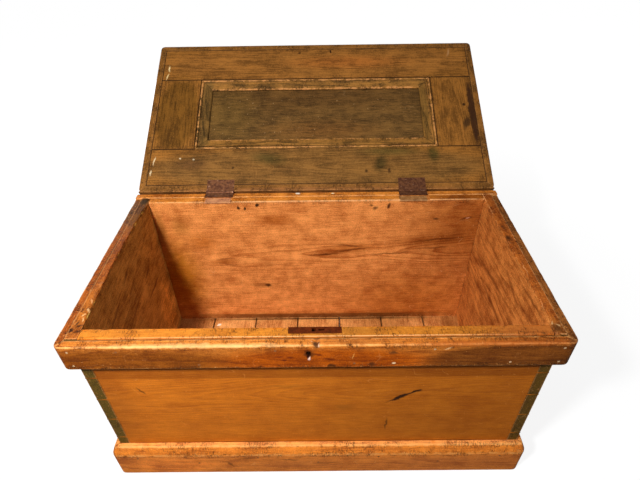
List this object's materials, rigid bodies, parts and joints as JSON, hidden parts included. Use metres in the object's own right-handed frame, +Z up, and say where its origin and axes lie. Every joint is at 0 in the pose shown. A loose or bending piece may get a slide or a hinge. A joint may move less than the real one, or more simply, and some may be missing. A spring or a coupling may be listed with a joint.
{
  "type": "blanket chest",
  "caption": "Rectangular dovetailed pine chest with a skirt, a plinth, a mortised lock and a framed and panelled lid that stands open on butt hinges.",
  "frame": {"origin": "centre of the case on the ground: the middle of the plinth footprint, at the level of its underside", "axes": "+Z up, +X along the front from left to right, +Y from the front to the hinges"},
  "size_m": [0.992, 1.0083, 0.7493],
  "materials": {
    "case_pine": "worn shellac over aged orange-brown pine",
    "floor_pine": "bare aged pine",
    "skirt_pine": "worn dark shellac on pine",
    "plinth_pine": "worn shellac on pine",
    "lid_pine": "aged olive-brown pine, thin old finish",
    "panel_pine": "aged dark olive-brown pine, thin old finish",
    "hinge_iron": "old purple-brown rusted iron",
    "lock_iron": "old dark brown iron",
    "nail_iron": "worn iron nails"
  },
  "bodies": {
    "case": {"back_board": "case_pine", "batten_nails": "nail_iron", "bolt_stumps": "lock_iron", "case_leaf_screws": "hinge_iron", "floor_board_1": "floor_pine", "floor_board_2": "floor_pine", "floor_board_3": "floor_pine", "floor_board_4": "floor_pine", "floor_board_5": "floor_pine", "floor_board_6": "floor_pine", "floor_board_7": "floor_pine", "floor_nails": "nail_iron", "front_board": "case_pine", "hinge_batten": "skirt_pine", "key_pin": "lock_iron", "left_board": "case_pine", "left_case_leaf": "hinge_iron", "left_hinge_pin": "hinge_iron", "lock_cap": "lock_iron", "lock_plate": "lock_iron", "lock_screws": "lock_iron", "plinth_back": "plinth_pine", "plinth_front": "plinth_pine", "plinth_left": "plinth_pine", "plinth_nails": "nail_iron", "plinth_right": "plinth_pine", "right_board": "case_pine", "right_case_leaf": "hinge_iron", "right_hinge_pin": "hinge_iron", "skirt_front": "skirt_pine", "skirt_left": "skirt_pine", "skirt_nails": "nail_iron", "skirt_right": "skirt_pine"},
    "lid": {"lid_front_rail": "lid_pine", "lid_back_rail": "lid_pine", "lid_left_stile": "lid_pine", "lid_right_stile": "lid_pine", "rim_front": "lid_pine", "rim_back": "lid_pine", "rim_left": "lid_pine", "rim_right": "lid_pine", "lid_panel": "panel_pine", "moulding_front": "panel_pine", "moulding_back": "panel_pine", "moulding_left": "panel_pine", "moulding_right": "panel_pine", "left_lid_leaf": "hinge_iron", "right_lid_leaf": "hinge_iron", "lid_leaf_screws": "hinge_iron", "rim_nails": "nail_iron", "moulding_pins": "nail_iron"},
    "lock_bolt": {"lock_bolt": "lock_iron", "bolt_spring": "lock_iron"}
  },
  "joints": [
    {"name": "lid_hinge", "type": "hinge", "parent": "case", "child": "lid", "pos_m": [0, 0.26875, 0.48815], "axis": [1, 0, 0], "range_deg": [0, 150.5]},
    {"name": "bolt_slide", "type": "slide", "parent": "case", "child": "lock_bolt", "axis": [1, 0, 0], "range_m": [0, 0.008]}
  ]
}
